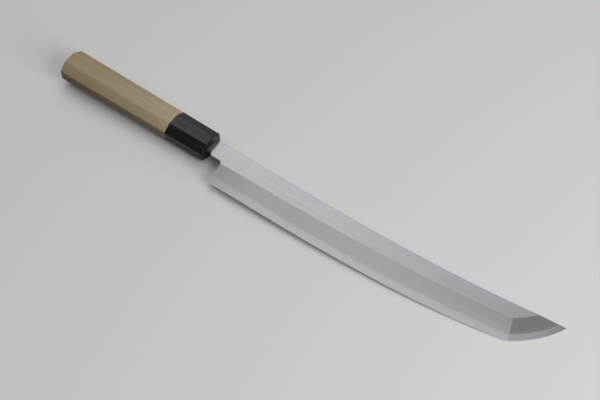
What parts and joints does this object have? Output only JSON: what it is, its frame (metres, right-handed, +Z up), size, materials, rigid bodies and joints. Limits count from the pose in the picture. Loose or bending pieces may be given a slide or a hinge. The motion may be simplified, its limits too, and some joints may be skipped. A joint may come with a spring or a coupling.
{
  "type": "sakimaru takohiki knife",
  "caption": "Long single-bevel slicing knife with a curved laminated blade, rounded sword-like point, black horn ferrule and octagonal pale wood handle.",
  "frame": {"origin": "on the surface the knife lies on, under the middle of its bounding box", "axes": "+X along the handle to the tip, +Y to the spine, +Z up from the surface, on the ground right side of the blade"},
  "size_m": [0.468, 0.051, 0.0239],
  "materials": {
    "soft_iron": "satin, cloudy, lengthwise polish",
    "hard_steel": "finer, brighter polish",
    "black_horn": "polished, faint lengthwise grain",
    "pale_wood": "smooth, unvarnished, straight grain",
    "seal_resin": "dull"
  },
  "bodies": {
    "root": {"blade_soft_iron": "soft_iron", "blade_hard_steel": "hard_steel", "horn_ferrule": "black_horn", "wood_handle": "pale_wood", "tang_seal": "seal_resin"}
  },
  "joints": []
}
